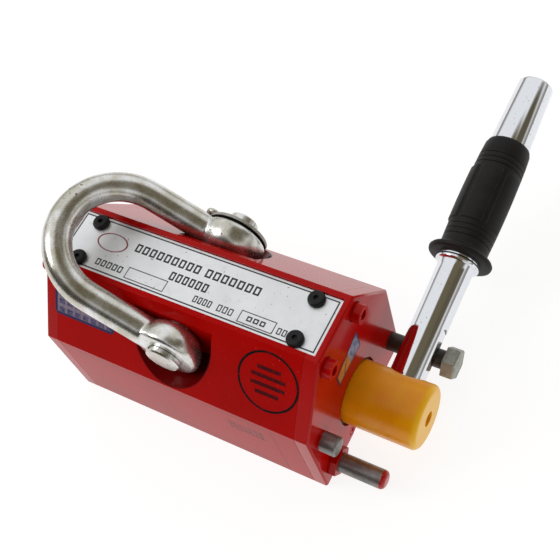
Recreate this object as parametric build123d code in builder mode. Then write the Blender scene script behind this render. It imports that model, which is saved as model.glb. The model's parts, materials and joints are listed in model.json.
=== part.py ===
"""Permanent lifting magnet: two pole yokes round a turning magnet rotor, with a hand lever and a shackle.

+X runs along the body towards the lever, +Y towards the side where the lever rests, +Z up.
The origin is the centre of the pole face, under the middle of the body.
"""

from build123d import *
import math
import os

# Body
core_length = 146.0
cover_thickness = 8.0
body_width = 92.0
body_height = 97.0
top_flat = 38.0
side_height = 59.0
groove_half = 14.0
groove_depth = 4.0
cover_edge_break = 1.0
magnet_gap = 7.0
pole_gap = 5.0

# Plate recess along the top, between two narrow rails
rail_width = 3.0
plate_recess = 2.0
plate_thickness = 0.8
plate_clearance = 0.3
plate_notch = 4.3
plate_screw_inset_x = 8.5
plate_screw_inset_y = 4.6
plate_screw_head = 4.5
plate_screw_height = 2.6
plate_screw_shank = 2.0
plate_screw_depth = 4.0
plate_screw_dome = 1.4
plate_screw_socket = 2.6

# Fixed magnets over the rotor, in the gap between the yokes
fixed_magnet_count = 6
fixed_magnet_height = 14.0
fixed_magnet_wall = 2.0

# Rotor
rotor_radius = 20.0
pole_wall = 3.0
rotor_air_gap = 0.5
rotor_end_float = 1.0
disc_thickness = 6.0
rotor_slab_half = 8.0
rotor_magnet_half = 13.3
rotor_magnet_count = 4
rotor_screw_land = 0.3
rotor_screw_shank = 1.6
rotor_screw_depth = 16.0
rotor_screw_socket = 2.0
front_journal = 13.0
rear_journal = 10.0
running_fit = 0.06
front_bush_wall = 3.0
rear_bush_wall = 3.5
rear_bush_length = 6.0
seal_depth = 3.0
seal_lip = 3.2
seal_thickness = 1.0
seal_clearance = 0.25

# Hub outside the front cover
hub_radius = 17.7
hub_shoulder = 1.0
hub_reach = 40.0
hub_cap = 5.0
hub_eye = 4.25
hub_sink = 1.6
hub_nose_round = 3.0
hub_back_round = 0.8
dowel_radius = 2.0
dowel_length = 9.0
dowel_sink = 0.5
dowel_inset = 7.6

# Hand lever
lever_offset = 21.0
lever_rest_angle = 6.8
lever_tilt = 5.0
tongue_width = 12.0
tongue_side_gap = 0.2
tongue_length_x = 14.0
tongue_foot = 7.0
tongue_round = 3.0
slot_back = 9.2
slot_front = 9.6
slot_floor = 9.0
pivot_radius = 3.0
tube_start = 13.5
tube_root_radius = 9.7
tube_top_radius = 10.0
tube_bore = 6.0
tube_bore_end = 78.0
tube_flare_start = 80.0
tube_flare_radius = 11.5
collar_end = 88.0
collar_edge = 1.2
root_plug_end = 45.0
flat_inset = 1.0
flat_end = 46.0
flat_ramp = 3.0
hub_window_gap = 0.35
hub_window_spare = 0.6
spigot_end = 125.0
grip_end = 160.0
grip_bore = 9.0
grip_flange_radius = 17.5
grip_flange_thickness = 3.6
grip_neck_radius = 12.4
grip_end_radius = 12.2
grip_belly_radius = 13.4
lever_tip = 204.0
end_tube_radius = 11.5
end_tube_tip_radius = 10.2
end_tube_round = 3.0
end_tube_wall = 6.0
spring_pocket_h = -5.0
spring_pocket_radius = 3.2
spring_pocket_depth = 10.0
spring_coil_radius = 2.4
spring_wire_radius = 0.4
spring_turns = 6
spring_end_gap = 0.15
spring_nose_gap = 0.75

# Stops for the lever on the front cover
stop_radius = 5.25
stop_seat_depth = 12.0
stop_bolt_edge = 8.0
stop_bolt_reach = 32.5
stop_head_flats = 16.0
stop_head_thickness = 7.5
stop_head_break = 0.8
stop_rest_gap = 0.3
long_pin_edge = 12.0
long_pin_z = 12.0
long_pin_reach = 30.5
long_pin_nut_flats = 15.0
long_pin_nut_thickness = 4.5
short_pin_edge = 9.2
short_pin_drop = 14.0
short_pin_reach = 10.0
pin_edge_break = 0.8
long_pin_round = 2.6

# Cover screws
upper_screw_inset = 3.2
upper_screw_drop = 9.5
upper_screw_head = 5.0
upper_screw_height = 6.0
upper_screw_shank = 3.0
upper_screw_socket = 5.0
upper_screw_sink = 1.0
lower_screw = (13.5, 6.0)
lower_screw_head = 3.0
lower_screw_height = 3.0
lower_screw_shank = 1.6
lower_screw_socket = 2.4
lower_screw_sink = 3.0
cover_screw_depth = 14.0
head_clearance = 0.3

# Shackle and its pin
pin_height = 80.0
pin_radius = 8.0
pin_clearance = 0.06
pocket_wall = 22.5
pocket_half = 23.0
pocket_centre = 83.0
ear_gap = 0.5
ear_radius = 18.0
ear_rim_radius = 15.0
ear_thickness = 15.0
ear_bulge = 5.0
bow_rod = 7.7
bow_half_spread = 32.0
bow_arc_centre = 47.3
bow_start = 6.0
bow_rest_angle = 30.0
pin_head_lip = 1.6
pin_head_thickness = 3.0
pin_head_break = 0.8
washer_radius = 17.0
washer_thickness = 2.0
pin_far_end = 47.5
split_pin_radius = 1.5
split_pin_reach = 15.0
split_pin_eye = 2.6
seat_gap = 0.1

# Values worked out from the driving ones
core_half = core_length / 2
body_half = core_half + cover_thickness
half_width = body_width / 2
half_flat = top_flat / 2
recess_half = half_flat - rail_width
plate_floor = body_height - plate_recess
plate_screw_x = core_half - plate_screw_inset_x
plate_screw_y = recess_half - plate_screw_inset_y
bore_radius = rotor_radius + rotor_air_gap
rotor_height = groove_depth + pole_wall + bore_radius
fixed_magnet_floor = rotor_height + bore_radius + fixed_magnet_wall
rotor_screw_y = (front_journal + rotor_radius) / 2
rotor_screw_head = (rotor_radius - front_journal) / 2 - rotor_screw_land
rotor_half = core_half - rotor_end_float
pole_half = rotor_half - disc_thickness
seal_seat = body_half - seal_depth
front_bush_outer = front_journal + front_bush_wall
rear_bush_outer = rear_journal + rear_bush_wall
seal_outer = front_bush_outer + seal_lip
hub_bore = front_journal - hub_shoulder
hub_back = body_half - hub_sink
hub_front = body_half + hub_reach
dowel_x = hub_back + dowel_inset
lever_x = body_half + lever_offset
window_radius = tube_root_radius + hub_window_gap
window_slide = hub_radius * math.tan(math.radians(lever_tilt)) + hub_window_spare
pin_bore = pin_radius + pin_clearance
pin_head_radius = pin_radius + pin_head_lip
ear_inner = pocket_wall + ear_gap
ear_outer = ear_inner + ear_thickness
washer_inner = ear_outer + seat_gap
spot_face_radius = washer_radius + head_clearance
split_pin_y = washer_inner + washer_thickness + seat_gap + split_pin_radius
upper_screw = (half_flat - upper_screw_inset, body_height - upper_screw_drop)
upper_sizes = (upper_screw_head, upper_screw_height, upper_screw_shank, upper_screw_socket, upper_screw_sink)
lower_sizes = (lower_screw_head, lower_screw_height, lower_screw_shank, lower_screw_socket, lower_screw_sink)
cover_screw_kinds = [(upper_screw, *upper_sizes), (lower_screw, *lower_sizes)]
stop_bolt_y = half_width - stop_bolt_edge
long_pin_y = long_pin_edge - half_width
long_pin = (long_pin_y, long_pin_z)
short_pin = (short_pin_edge - half_width, side_height - short_pin_drop)
tilt = math.radians(lever_rest_angle)

# The lever's underside rests on the stop bolt: the bolt's height follows from that.
tube_taper = (tube_top_radius - tube_root_radius) / (tube_flare_start - tube_start)
tube_radius_at_stop = tube_root_radius + tube_taper * (stop_bolt_y - tube_start)
stop_contact = tube_radius_at_stop + stop_radius + stop_rest_gap
stop_bolt_z = rotor_height + (stop_bolt_y * math.sin(tilt) - stop_contact) / math.cos(tilt)
stop_bolt_place = (stop_bolt_y, stop_bolt_z)

# On the other side it lies down on the long pin: the turn from stop to stop follows from that.
pin_fall = rotor_height - long_pin_z
pin_bearing = math.degrees(math.atan2(pin_fall, -long_pin_y))
pin_distance = math.hypot(long_pin_y, pin_fall)
lever_far_angle = math.degrees(math.asin(stop_contact / pin_distance)) - pin_bearing
lever_turn = 180.0 - lever_rest_angle - lever_far_angle

# The pivot pin's ends stay inside the round bore of the hub.
pivot_half = math.sqrt(hub_bore**2 - pivot_radius**2) - seat_gap

# The lever's own directions: outwards along it, and across it, which is its tilting axis.
lever_out = Vector(0, math.cos(tilt), math.sin(tilt))
lever_across = Vector(0, math.sin(tilt), -math.cos(tilt))
lever_root = Vector(lever_x, 0, rotor_height)
lever_axis = Axis(lever_root, lever_out)


def end_plane(end, distance):
    """Plane across the body at X = end * distance, facing outwards, with Z up."""
    return Plane(origin=(end * distance, 0, 0), x_dir=(0, end, 0), z_dir=(end, 0, 0))


def side_plane(side, distance):
    """Plane along the body at Y = side * distance, facing outwards, with Z up."""
    return Plane(origin=(0, side * distance, 0), x_dir=(-side, 0, 0), z_dir=(0, side, 0))


def lever_plane(height):
    """Plane across the lever, its X along the body and its Y along the tilting axis."""
    return Plane(origin=lever_root + lever_out * height, x_dir=(1, 0, 0), z_dir=lever_out)


lever_profile_plane = Plane(origin=lever_root, x_dir=(1, 0, 0), z_dir=-lever_across)


def save(piece, name):
    """Names a finished piece and writes its STEP file."""
    piece.part.label = name
    export_step(piece.part, f"parts/{name}.step")


def mirrored(place):
    """A place on an end face and its mirror image across the middle of the body."""
    y, z = place
    return [(y, z), (-y, z)]


def groove_height(y):
    """Height of the groove's slope in the pole face, y to the side of its middle."""
    return groove_depth * (1 - y / groove_half)


def ring(plane, centre, outer, inner, length):
    """A plain ring standing on a plane."""
    with BuildPart() as piece:
        with BuildSketch(plane):
            with Locations(centre):
                Circle(outer)
                Circle(inner, mode=Mode.SUBTRACT)
        extrude(amount=length)
    return piece


def cut_round(plane, places, radius, depth):
    """Cuts round holes into the piece being built, down from a plane."""
    with BuildSketch(plane) as holes:
        with Locations(*places):
            Circle(radius)
    extrude(holes.sketch, amount=-depth, mode=Mode.SUBTRACT)


# Body


def pole_yoke(side):
    """One steel half of the body, with its share of the rotor bore and its shackle pocket."""
    outline = [
        (pole_gap, groove_height(pole_gap)),
        (groove_half, 0),
        (half_width, 0),
        (half_width, side_height),
        (half_flat, body_height),
        (recess_half, body_height),
        (recess_half, plate_floor),
        (magnet_gap, plate_floor),
        (magnet_gap, rotor_height),
        (pole_gap, rotor_height),
    ]
    with BuildPart() as yoke:
        with BuildSketch(Plane.YZ.offset(-core_half)):
            with BuildLine():
                Polyline(*[(side * y, z) for y, z in outline], close=True)
            make_face()
            with Locations((0, rotor_height)):
                Circle(bore_radius, mode=Mode.SUBTRACT)
        extrude(amount=core_length)
        with BuildSketch(side_plane(side, pocket_wall)):
            with Locations((0, pocket_centre)):
                Circle(pocket_half)
                Rectangle(2 * pocket_half, body_height, align=(Align.CENTER, Align.MIN))
        extrude(amount=half_width, mode=Mode.SUBTRACT)
        cut_round(side_plane(side, pocket_wall), [(0, pin_height)], pin_bore, pocket_wall)
        plate_holes = [(x, side * plate_screw_y) for x in (-plate_screw_x, plate_screw_x)]
        cut_round(Plane.XY.offset(plate_floor), plate_holes, plate_screw_shank, plate_screw_depth)
        for end in (-1, 1):
            for (y, z), _, _, shank, _, _ in cover_screw_kinds:
                place = [(side * end * y, z)]
                cut_round(end_plane(end, core_half), place, shank, cover_screw_depth)
        seats = [stop_bolt_place] if side > 0 else [long_pin, short_pin]
        cut_round(end_plane(1, core_half), seats, stop_radius, stop_seat_depth)
    return yoke


def end_cover(end):
    """A painted end plate with the body's outline."""
    outline = [
        (0, groove_depth),
        (groove_half, 0),
        (half_width, 0),
        (half_width, side_height),
        (half_flat, body_height),
        (-half_flat, body_height),
        (-half_width, side_height),
        (-half_width, 0),
        (-groove_half, 0),
    ]
    outer = end_plane(end, body_half)
    with BuildPart() as cover:
        with BuildSketch(end_plane(end, core_half)):
            with BuildLine():
                Polyline(*outline, close=True)
            make_face()
        extrude(amount=cover_thickness)
        outer_face = cover.faces().sort_by(Axis.X)[-1 if end > 0 else 0]
        chamfer(outer_face.edges(), cover_edge_break)
        with BuildSketch(Plane.XY.offset(plate_floor)) as notch:
            with Locations((end * core_half, 0)):
                Rectangle(2 * plate_notch, 2 * recess_half)
        extrude(notch.sketch, amount=plate_recess, mode=Mode.SUBTRACT)
        for place, head, _, shank, _, sink in cover_screw_kinds:
            with Locations(outer):
                with Locations(*mirrored(place)):
                    CounterBoreHole(shank, head + head_clearance, sink, cover_thickness)
        if end > 0:
            cut_round(outer, [(0, rotor_height)], seal_outer, seal_depth)
            cut_round(outer, [(0, rotor_height)], front_bush_outer, cover_thickness)
            cut_round(outer, [long_pin, short_pin, stop_bolt_place], stop_radius, cover_thickness)
        else:
            inner = end_plane(1, -core_half)
            cut_round(inner, [(0, rotor_height)], rear_bush_outer, rear_bush_length)
    return cover


def cover_screws(end):
    """The four socket screws of one end cover: the upper heads stand proud, the lower ones lie flush."""
    with BuildPart() as screws:
        for place, head, height, shank, socket, sink in cover_screw_kinds:
            seat = end_plane(end, body_half - sink)
            with BuildSketch(seat):
                with Locations(*mirrored(place)):
                    Circle(head)
            extrude(amount=height)
            with BuildSketch(seat):
                with Locations(*mirrored(place)):
                    Circle(shank)
            extrude(amount=-(cover_thickness - sink + cover_screw_depth))
            with BuildSketch(seat.offset(height)):
                with Locations(*mirrored(place)):
                    RegularPolygon(socket / 2, 6, major_radius=False)
            extrude(amount=-height / 2, mode=Mode.SUBTRACT)
    return screws


os.makedirs("parts", exist_ok=True)

near_yoke = pole_yoke(-1)
save(near_yoke, "pole_yoke_near")
far_yoke = pole_yoke(1)
save(far_yoke, "pole_yoke_far")
front_cover = end_cover(1)
save(front_cover, "front_end_cover")
rear_cover = end_cover(-1)
save(rear_cover, "rear_end_cover")
front_screws = cover_screws(1)
save(front_screws, "front_cover_screws")
rear_screws = cover_screws(-1)
save(rear_screws, "rear_cover_screws")

with BuildPart() as top_spacer:
    spacer_floor = fixed_magnet_floor + fixed_magnet_height
    with BuildSketch(Plane.YZ.offset(-core_half)):
        with Locations((0, spacer_floor)):
            Rectangle(2 * magnet_gap, plate_floor - spacer_floor, align=(Align.CENTER, Align.MIN))
    extrude(amount=core_length)
    cut_round(side_plane(1, magnet_gap), [(0, pin_height)], pin_bore, 2 * magnet_gap)
save(top_spacer, "top_spacer")

with BuildPart() as pole_gap_strip:
    with BuildSketch(Plane.YZ.offset(-core_half)):
        with BuildLine():
            Polyline(
                (0, groove_depth),
                (pole_gap, groove_height(pole_gap)),
                (pole_gap, rotor_height),
                (-pole_gap, rotor_height),
                (-pole_gap, groove_height(pole_gap)),
                close=True,
            )
        make_face()
        with Locations((0, rotor_height)):
            Circle(bore_radius, mode=Mode.SUBTRACT)
    extrude(amount=core_length)
save(pole_gap_strip, "pole_gap_strip")

with BuildPart() as fixed_magnets:
    fixed_pitch = core_length / fixed_magnet_count
    with BuildSketch(Plane.XY.offset(fixed_magnet_floor)):
        with GridLocations(fixed_pitch, 0, fixed_magnet_count, 1):
            Rectangle(fixed_pitch - seat_gap, 2 * magnet_gap)
    extrude(amount=fixed_magnet_height)
save(fixed_magnets, "fixed_magnets")

# Nameplate and its screws

plate_screws_at = [(x, y) for x in (-plate_screw_x, plate_screw_x) for y in (-plate_screw_y, plate_screw_y)]

with BuildPart() as nameplate:
    with BuildSketch(Plane.XY.offset(plate_floor)):
        Rectangle(core_length + 2 * (plate_notch - plate_clearance), 2 * (recess_half - plate_clearance))
        with Locations(*plate_screws_at):
            Circle(plate_screw_shank + head_clearance, mode=Mode.SUBTRACT)
    extrude(amount=plate_thickness)
save(nameplate, "nameplate")

with BuildPart() as nameplate_screws:
    plate_top = Plane.XY.offset(plate_floor + plate_thickness)
    with BuildSketch(plate_top):
        with Locations(*plate_screws_at):
            Circle(plate_screw_head)
    extrude(amount=plate_screw_height)
    crown = plate_floor + plate_thickness + plate_screw_height
    rims = nameplate_screws.edges().filter_by(GeomType.CIRCLE).filter_by_position(Axis.Z, crown, crown)
    fillet(rims, plate_screw_dome)
    with BuildSketch(plate_top):
        with Locations(*plate_screws_at):
            Circle(plate_screw_shank)
    extrude(amount=-(plate_thickness + plate_screw_depth))
    with BuildSketch(Plane.XY.offset(crown)):
        with Locations(*plate_screws_at):
            RegularPolygon(plate_screw_socket / 2, 6, major_radius=False)
    extrude(amount=-plate_screw_height / 2, mode=Mode.SUBTRACT)
save(nameplate_screws, "nameplate_screws")

# Rotor bearings and seal

front_bearing = ring(
    end_plane(1, core_half),
    (0, rotor_height),
    front_bush_outer,
    front_journal + running_fit,
    seal_seat - core_half,
)
save(front_bearing, "front_bearing")
rear_bearing = ring(
    end_plane(-1, core_half),
    (0, rotor_height),
    rear_bush_outer,
    rear_journal + running_fit,
    rear_bush_length,
)
save(rear_bearing, "rear_bearing")
shaft_seal = ring(
    end_plane(1, seal_seat),
    (0, rotor_height),
    seal_outer,
    front_journal + seal_clearance,
    seal_thickness,
)
save(shaft_seal, "shaft_seal")

# Rotor

rotor_screws_at = [(-rotor_screw_y, rotor_height), (rotor_screw_y, rotor_height)]


def rotor_pole(side):
    """One steel segment of the rotor, beside the magnet slab."""
    with BuildPart() as pole:
        with BuildSketch(Plane.YZ.offset(-pole_half)):
            with Locations((0, rotor_height)):
                Circle(rotor_radius)
            with Locations((side * (rotor_slab_half - rotor_radius), rotor_height)):
                Rectangle(2 * rotor_radius, 2 * rotor_radius, mode=Mode.SUBTRACT)
        extrude(amount=2 * pole_half)
        for end in (-1, 1):
            place = [(side * end * rotor_screw_y, rotor_height)]
            cut_round(end_plane(end, pole_half), place, rotor_screw_shank, rotor_screw_depth)
    return pole


def cut_rotor_screws(end):
    """Countersunk holes through a rotor disc."""
    with Locations(end_plane(end, rotor_half)):
        with Locations(*rotor_screws_at):
            CounterSinkHole(rotor_screw_shank, rotor_screw_head, disc_thickness)


rotor_pole_near = rotor_pole(-1)
save(rotor_pole_near, "rotor_pole_near")
rotor_pole_far = rotor_pole(1)
save(rotor_pole_far, "rotor_pole_far")

with BuildPart() as rotor_magnets:
    rotor_pitch = 2 * pole_half / rotor_magnet_count
    with BuildSketch(Plane.XY.offset(rotor_height - rotor_magnet_half)):
        with GridLocations(rotor_pitch, 0, rotor_magnet_count, 1):
            Rectangle(rotor_pitch - seat_gap, 2 * rotor_slab_half)
    extrude(amount=2 * rotor_magnet_half)
save(rotor_magnets, "rotor_magnets")

with BuildPart() as rotor_spacers:
    with BuildSketch(Plane.YZ.offset(-pole_half)):
        with Locations((0, rotor_height)):
            Rectangle(2 * rotor_slab_half, 2 * rotor_radius)
            Circle(rotor_radius, mode=Mode.INTERSECT)
            Rectangle(2 * rotor_slab_half, 2 * rotor_magnet_half, mode=Mode.SUBTRACT)
    extrude(amount=2 * pole_half)
save(rotor_spacers, "rotor_spacers")

with BuildPart() as rotor_screws:
    for end in (-1, 1):
        head_plane = end_plane(end, rotor_half)
        sink = rotor_screw_head - rotor_screw_shank
        with BuildSketch(head_plane):
            with Locations(*rotor_screws_at):
                Circle(rotor_screw_shank)
        extrude(amount=-(disc_thickness + rotor_screw_depth))
        with Locations(head_plane.offset(-sink / 2)):
            with Locations(*rotor_screws_at):
                Cone(rotor_screw_shank, rotor_screw_head, sink)
        with BuildSketch(head_plane):
            with Locations(*rotor_screws_at):
                RegularPolygon(rotor_screw_socket / 2, 6, major_radius=False)
        extrude(amount=-sink, mode=Mode.SUBTRACT)
save(rotor_screws, "rotor_screws")

with BuildPart() as rotor_front_shaft:
    with BuildSketch(end_plane(1, pole_half)):
        with Locations((0, rotor_height)):
            Circle(rotor_radius)
    extrude(amount=disc_thickness)
    with BuildSketch(end_plane(1, rotor_half)):
        with Locations((0, rotor_height)):
            Circle(front_journal)
    extrude(amount=hub_back - seat_gap - rotor_half)
    with BuildSketch(end_plane(1, rotor_half)):
        with Locations((0, rotor_height)):
            Circle(hub_bore)
    extrude(amount=hub_front - hub_cap - rotor_half)
    cut_rotor_screws(1)
    slot_width = tongue_width + 2 * tongue_side_gap
    with BuildSketch(lever_plane(-slot_floor)):
        with Locations(((slot_front - slot_back) / 2, 0)):
            Rectangle(slot_back + slot_front, slot_width)
    extrude(amount=slot_floor + hub_radius, mode=Mode.SUBTRACT)
    pivot_plane = Plane(origin=lever_root, x_dir=(1, 0, 0), z_dir=lever_across)
    with BuildSketch(pivot_plane):
        Circle(pivot_radius)
    extrude(amount=hub_bore, both=True, mode=Mode.SUBTRACT)
    pocket_mouth = lever_root + lever_out * spring_pocket_h - Vector(slot_back, 0, 0)
    spring_plane = Plane(origin=pocket_mouth, x_dir=lever_across, z_dir=(-1, 0, 0))
    with BuildSketch(spring_plane):
        Circle(spring_pocket_radius)
    extrude(amount=spring_pocket_depth, mode=Mode.SUBTRACT)
    dowel_plane = Plane(origin=(dowel_x, 0, rotor_height), x_dir=(1, 0, 0), z_dir=lever_across)
    dowel_inner = hub_radius - dowel_sink - dowel_length
    for turn in (1, -1):
        with BuildSketch(dowel_plane.offset(turn * dowel_inner)):
            Circle(dowel_radius)
        extrude(amount=turn * dowel_length, mode=Mode.SUBTRACT)
save(rotor_front_shaft, "rotor_front_shaft")

with BuildPart() as rotor_rear_shaft:
    with BuildSketch(end_plane(-1, pole_half)):
        with Locations((0, rotor_height)):
            Circle(rotor_radius)
    extrude(amount=disc_thickness)
    with BuildSketch(end_plane(-1, rotor_half)):
        with Locations((0, rotor_height)):
            Circle(rear_journal)
    extrude(amount=rear_bush_length)
    cut_rotor_screws(-1)
save(rotor_rear_shaft, "rotor_rear_shaft")

with BuildPart() as hub:
    with BuildSketch(end_plane(1, hub_back)):
        with Locations((0, rotor_height)):
            Circle(hub_radius)
    extrude(amount=hub_front - hub_back)
    fillet(hub.edges().group_by(Axis.X)[-1], hub_nose_round)
    fillet(hub.edges().group_by(Axis.X)[0], hub_back_round)
    cut_round(end_plane(1, hub_front - hub_cap), [(0, rotor_height)], hub_bore, hub_reach + hub_sink)
    cut_round(end_plane(1, hub_front), [(0, rotor_height)], hub_eye, hub_cap)
    with BuildSketch(lever_plane(0)):
        Circle(window_radius)
        with Locations((window_slide, 0)):
            Circle(window_radius)
        make_hull()
    extrude(amount=hub_radius, mode=Mode.SUBTRACT)
    for turn in (1, -1):
        with BuildSketch(dowel_plane.offset(turn * dowel_inner)):
            Circle(dowel_radius)
        extrude(amount=turn * dowel_length, mode=Mode.SUBTRACT)
save(hub, "hub")

with BuildPart() as hub_dowels:
    for turn in (1, -1):
        with BuildSketch(dowel_plane.offset(turn * dowel_inner)):
            Circle(dowel_radius)
        extrude(amount=turn * dowel_length)
save(hub_dowels, "hub_dowels")

with BuildPart() as lever_pivot_pin:
    with BuildSketch(pivot_plane):
        Circle(pivot_radius)
    extrude(amount=pivot_half, both=True)
save(lever_pivot_pin, "lever_pivot_pin")

spring_length = spring_pocket_depth + slot_back - tongue_length_x / 2 - spring_end_gap - spring_nose_gap
spring_rise = spring_length - 2 * spring_wire_radius
spring_foot = pocket_mouth - Vector(spring_pocket_depth - spring_end_gap - spring_wire_radius, 0, 0)
with BuildPart() as lever_spring:
    with BuildLine():
        coil = Helix(
            pitch=spring_rise / spring_turns,
            height=spring_rise,
            radius=spring_coil_radius,
            center=spring_foot,
            direction=(1, 0, 0),
        )
    with BuildSketch(Plane(origin=coil @ 0, z_dir=coil % 0)):
        Circle(spring_wire_radius)
    sweep()
save(lever_spring, "lever_spring")

# Hand lever

with BuildPart() as lever_root_plug:
    with BuildSketch(lever_plane(-tongue_foot)):
        Rectangle(tongue_length_x, tongue_width)
    extrude(amount=tongue_foot + tube_start)
    foot_edges = lever_root_plug.edges().filter_by(Axis(lever_root, lever_across))
    fillet(foot_edges.group_by(lever_axis)[0], tongue_round)
    with BuildSketch(lever_plane(tube_start)):
        Circle(tube_bore)
    extrude(amount=root_plug_end - tube_start)
    with BuildSketch(pivot_plane):
        Circle(pivot_radius + running_fit)
    extrude(amount=tongue_width, both=True, mode=Mode.SUBTRACT)
save(lever_root_plug, "lever_root_plug")

with BuildPart() as lever_tube:
    with BuildSketch(lever_profile_plane):
        with BuildLine():
            Polyline(
                (tube_bore, tube_start),
                (tube_root_radius, tube_start),
                (tube_top_radius, tube_flare_start),
                (tube_flare_radius - collar_edge / 2, collar_end - 2 * collar_edge),
                (tube_flare_radius, collar_end - collar_edge),
                (tube_flare_radius, collar_end),
                (tube_bore, collar_end),
                (tube_bore, spigot_end),
                (0, spigot_end),
                (0, tube_bore_end),
                (tube_bore, tube_bore_end),
                close=True,
            )
        make_face()
    revolve(axis=lever_axis)
    flat_x = tube_root_radius - flat_inset
    with BuildSketch(lever_profile_plane):
        with BuildLine():
            Polyline(
                (flat_x, 0),
                (flat_x, flat_end),
                (flat_x + 2 * flat_inset, flat_end + flat_ramp),
                (flat_x + 2 * flat_inset, 0),
                close=True,
            )
        make_face()
    extrude(amount=hub_radius, both=True, mode=Mode.SUBTRACT)
save(lever_tube, "lever_tube")

with BuildPart() as lever_grip:
    with BuildSketch(lever_profile_plane):
        with BuildLine():
            flange_top = collar_end + grip_flange_thickness
            Polyline(
                (grip_neck_radius, flange_top),
                (grip_flange_radius, flange_top),
                (grip_flange_radius, collar_end),
                (grip_bore, collar_end),
                (grip_bore, grip_end),
                (grip_end_radius, grip_end),
            )
            ThreePointArc(
                (grip_end_radius, grip_end),
                (grip_belly_radius, (grip_end + flange_top) / 2),
                (grip_neck_radius, flange_top),
            )
        make_face()
    revolve(axis=lever_axis)
save(lever_grip, "lever_grip")

with BuildPart() as lever_end_tube:
    with BuildSketch(lever_profile_plane):
        with BuildLine():
            Polyline(
                (tube_bore, collar_end),
                (grip_bore, collar_end),
                (grip_bore, grip_end),
                (end_tube_radius, grip_end),
                (end_tube_tip_radius, lever_tip),
                (0, lever_tip),
                (0, lever_tip - end_tube_wall),
                (tube_bore, lever_tip - end_tube_wall),
                close=True,
            )
        make_face()
    revolve(axis=lever_axis)
    fillet(lever_end_tube.edges().group_by(lever_axis)[-1], end_tube_round)
save(lever_end_tube, "lever_end_tube")

# Stops

stop_foot = end_plane(1, core_half - stop_seat_depth)
stop_total = stop_seat_depth + cover_thickness

with BuildPart() as stop_bolt:
    with BuildSketch(stop_foot):
        with Locations(stop_bolt_place):
            Circle(stop_radius)
    extrude(amount=stop_total + stop_bolt_reach)
    with BuildSketch(end_plane(1, body_half + stop_bolt_reach)):
        with Locations(stop_bolt_place):
            RegularPolygon(stop_head_flats / 2, 6, major_radius=False)
    extrude(amount=stop_head_thickness)
    chamfer(stop_bolt.faces().sort_by(Axis.X)[-1].edges(), stop_head_break)
save(stop_bolt, "stop_bolt")

with BuildPart() as long_stop_pin:
    with BuildSketch(stop_foot):
        with Locations(long_pin):
            Circle(stop_radius)
    extrude(amount=stop_total + long_pin_reach)
    fillet(long_stop_pin.edges().group_by(Axis.X)[-1], long_pin_round)
save(long_stop_pin, "long_stop_pin")

with BuildPart() as long_pin_nut:
    with BuildSketch(end_plane(1, body_half)):
        with Locations(long_pin):
            RegularPolygon(long_pin_nut_flats / 2, 6, major_radius=False)
            Circle(stop_radius, mode=Mode.SUBTRACT)
    extrude(amount=long_pin_nut_thickness)
save(long_pin_nut, "long_pin_nut")

with BuildPart() as short_stop_pin:
    with BuildSketch(stop_foot):
        with Locations(short_pin):
            Circle(stop_radius)
    extrude(amount=stop_total + short_pin_reach)
    chamfer(short_stop_pin.edges().group_by(Axis.X)[-1], pin_edge_break)
save(short_stop_pin, "short_stop_pin")

# Shackle

bow_angle = math.radians(bow_rest_angle)
bow_out = Vector(-math.cos(bow_angle), 0, math.sin(bow_angle))
bow_side = bow_half_spread + bow_rod
bow_plane = Plane(origin=(0, 0, pin_height), x_dir=bow_out, z_dir=bow_out.cross(Vector(0, 1, 0)))
bow_foot = bow_plane.from_local_coords((bow_start, bow_half_spread, 0))
pin_axis = Axis((0, 0, pin_height), (0, 1, 0))
pin_profile_plane = Plane(origin=(0, 0, pin_height), x_dir=(1, 0, 0), z_dir=(0, 0, 1))

with BuildPart() as shackle_bow:
    with BuildLine(bow_plane):
        Line((bow_start, bow_half_spread), (bow_arc_centre, bow_half_spread))
        ThreePointArc(
            (bow_arc_centre, bow_half_spread),
            (bow_arc_centre + bow_half_spread, 0),
            (bow_arc_centre, -bow_half_spread),
        )
        Line((bow_arc_centre, -bow_half_spread), (bow_start, -bow_half_spread))
    with BuildSketch(Plane(origin=bow_foot, z_dir=bow_out)):
        Circle(bow_rod)
    sweep()
    for side in (-1, 1):
        with BuildSketch(pin_profile_plane):
            with BuildLine():
                Polyline(
                    (ear_rim_radius, side * ear_outer),
                    (0, side * ear_outer),
                    (0, side * ear_inner),
                    (ear_rim_radius, side * ear_inner),
                )
                ThreePointArc(
                    (ear_rim_radius, side * ear_inner),
                    (ear_radius, side * (ear_inner + ear_bulge)),
                    (ear_rim_radius, side * ear_outer),
                )
            make_face()
        revolve(axis=pin_axis)
    for side in (-1, 1):
        outside = side_plane(side, bow_side)
        cut_round(outside, [(0, pin_height)], spot_face_radius, bow_side - ear_outer)
        cut_round(outside, [(0, pin_height)], pin_bore, bow_side - pocket_wall)
save(shackle_bow, "shackle_bow")

with BuildPart() as shackle_pin:
    with BuildSketch(side_plane(-1, ear_outer + seat_gap)):
        with Locations((0, pin_height)):
            Circle(pin_head_radius)
    extrude(amount=pin_head_thickness)
    chamfer(shackle_pin.faces().sort_by(Axis.Y)[0].edges(), pin_head_break)
    with BuildSketch(side_plane(-1, ear_outer + seat_gap)):
        with Locations((0, pin_height)):
            Circle(pin_radius)
    extrude(amount=-(ear_outer + seat_gap + pin_far_end))
    chamfer(shackle_pin.faces().sort_by(Axis.Y)[-1].edges(), pin_edge_break)
    split_plane = Plane(origin=(0, split_pin_y, pin_height), x_dir=(0, 1, 0), z_dir=bow_out)
    with BuildSketch(split_plane):
        Circle(split_pin_radius + running_fit)
    extrude(amount=pin_radius, both=True, mode=Mode.SUBTRACT)
save(shackle_pin, "shackle_pin")

shackle_washer = ring(
    side_plane(1, washer_inner),
    (0, pin_height),
    washer_radius,
    pin_bore,
    washer_thickness,
)
save(shackle_washer, "shackle_washer")

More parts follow.
